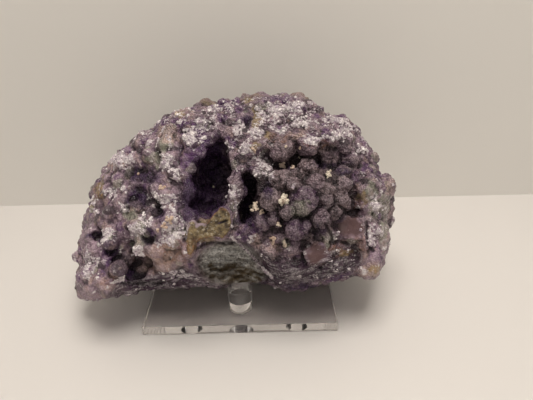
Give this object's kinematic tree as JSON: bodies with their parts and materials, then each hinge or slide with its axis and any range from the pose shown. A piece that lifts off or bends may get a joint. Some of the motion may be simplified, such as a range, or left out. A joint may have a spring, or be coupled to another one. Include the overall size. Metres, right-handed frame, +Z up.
{
  "type": "mineral specimen on display stand",
  "caption": "Purple fluorite cluster with botryoidal crust, open hollows and a matrix blade, leaning on short pegs of a clear acrylic display stand.",
  "frame": {"origin": "centre of the stand base's underside", "axes": "+X to the right along the stone's length, +Y away from the side shown in the picture, +Z up"},
  "size_m": [0.1749, 0.0993, 0.11],
  "materials": {
    "fluorite": "satin crystalline crust",
    "clear_acrylic": "polished clear"
  },
  "bodies": {
    "root": {"fluorite_specimen": "fluorite", "stand_base": "clear_acrylic", "front_peg": "clear_acrylic", "left_rear_peg": "clear_acrylic", "right_rear_peg": "clear_acrylic"}
  },
  "joints": []
}
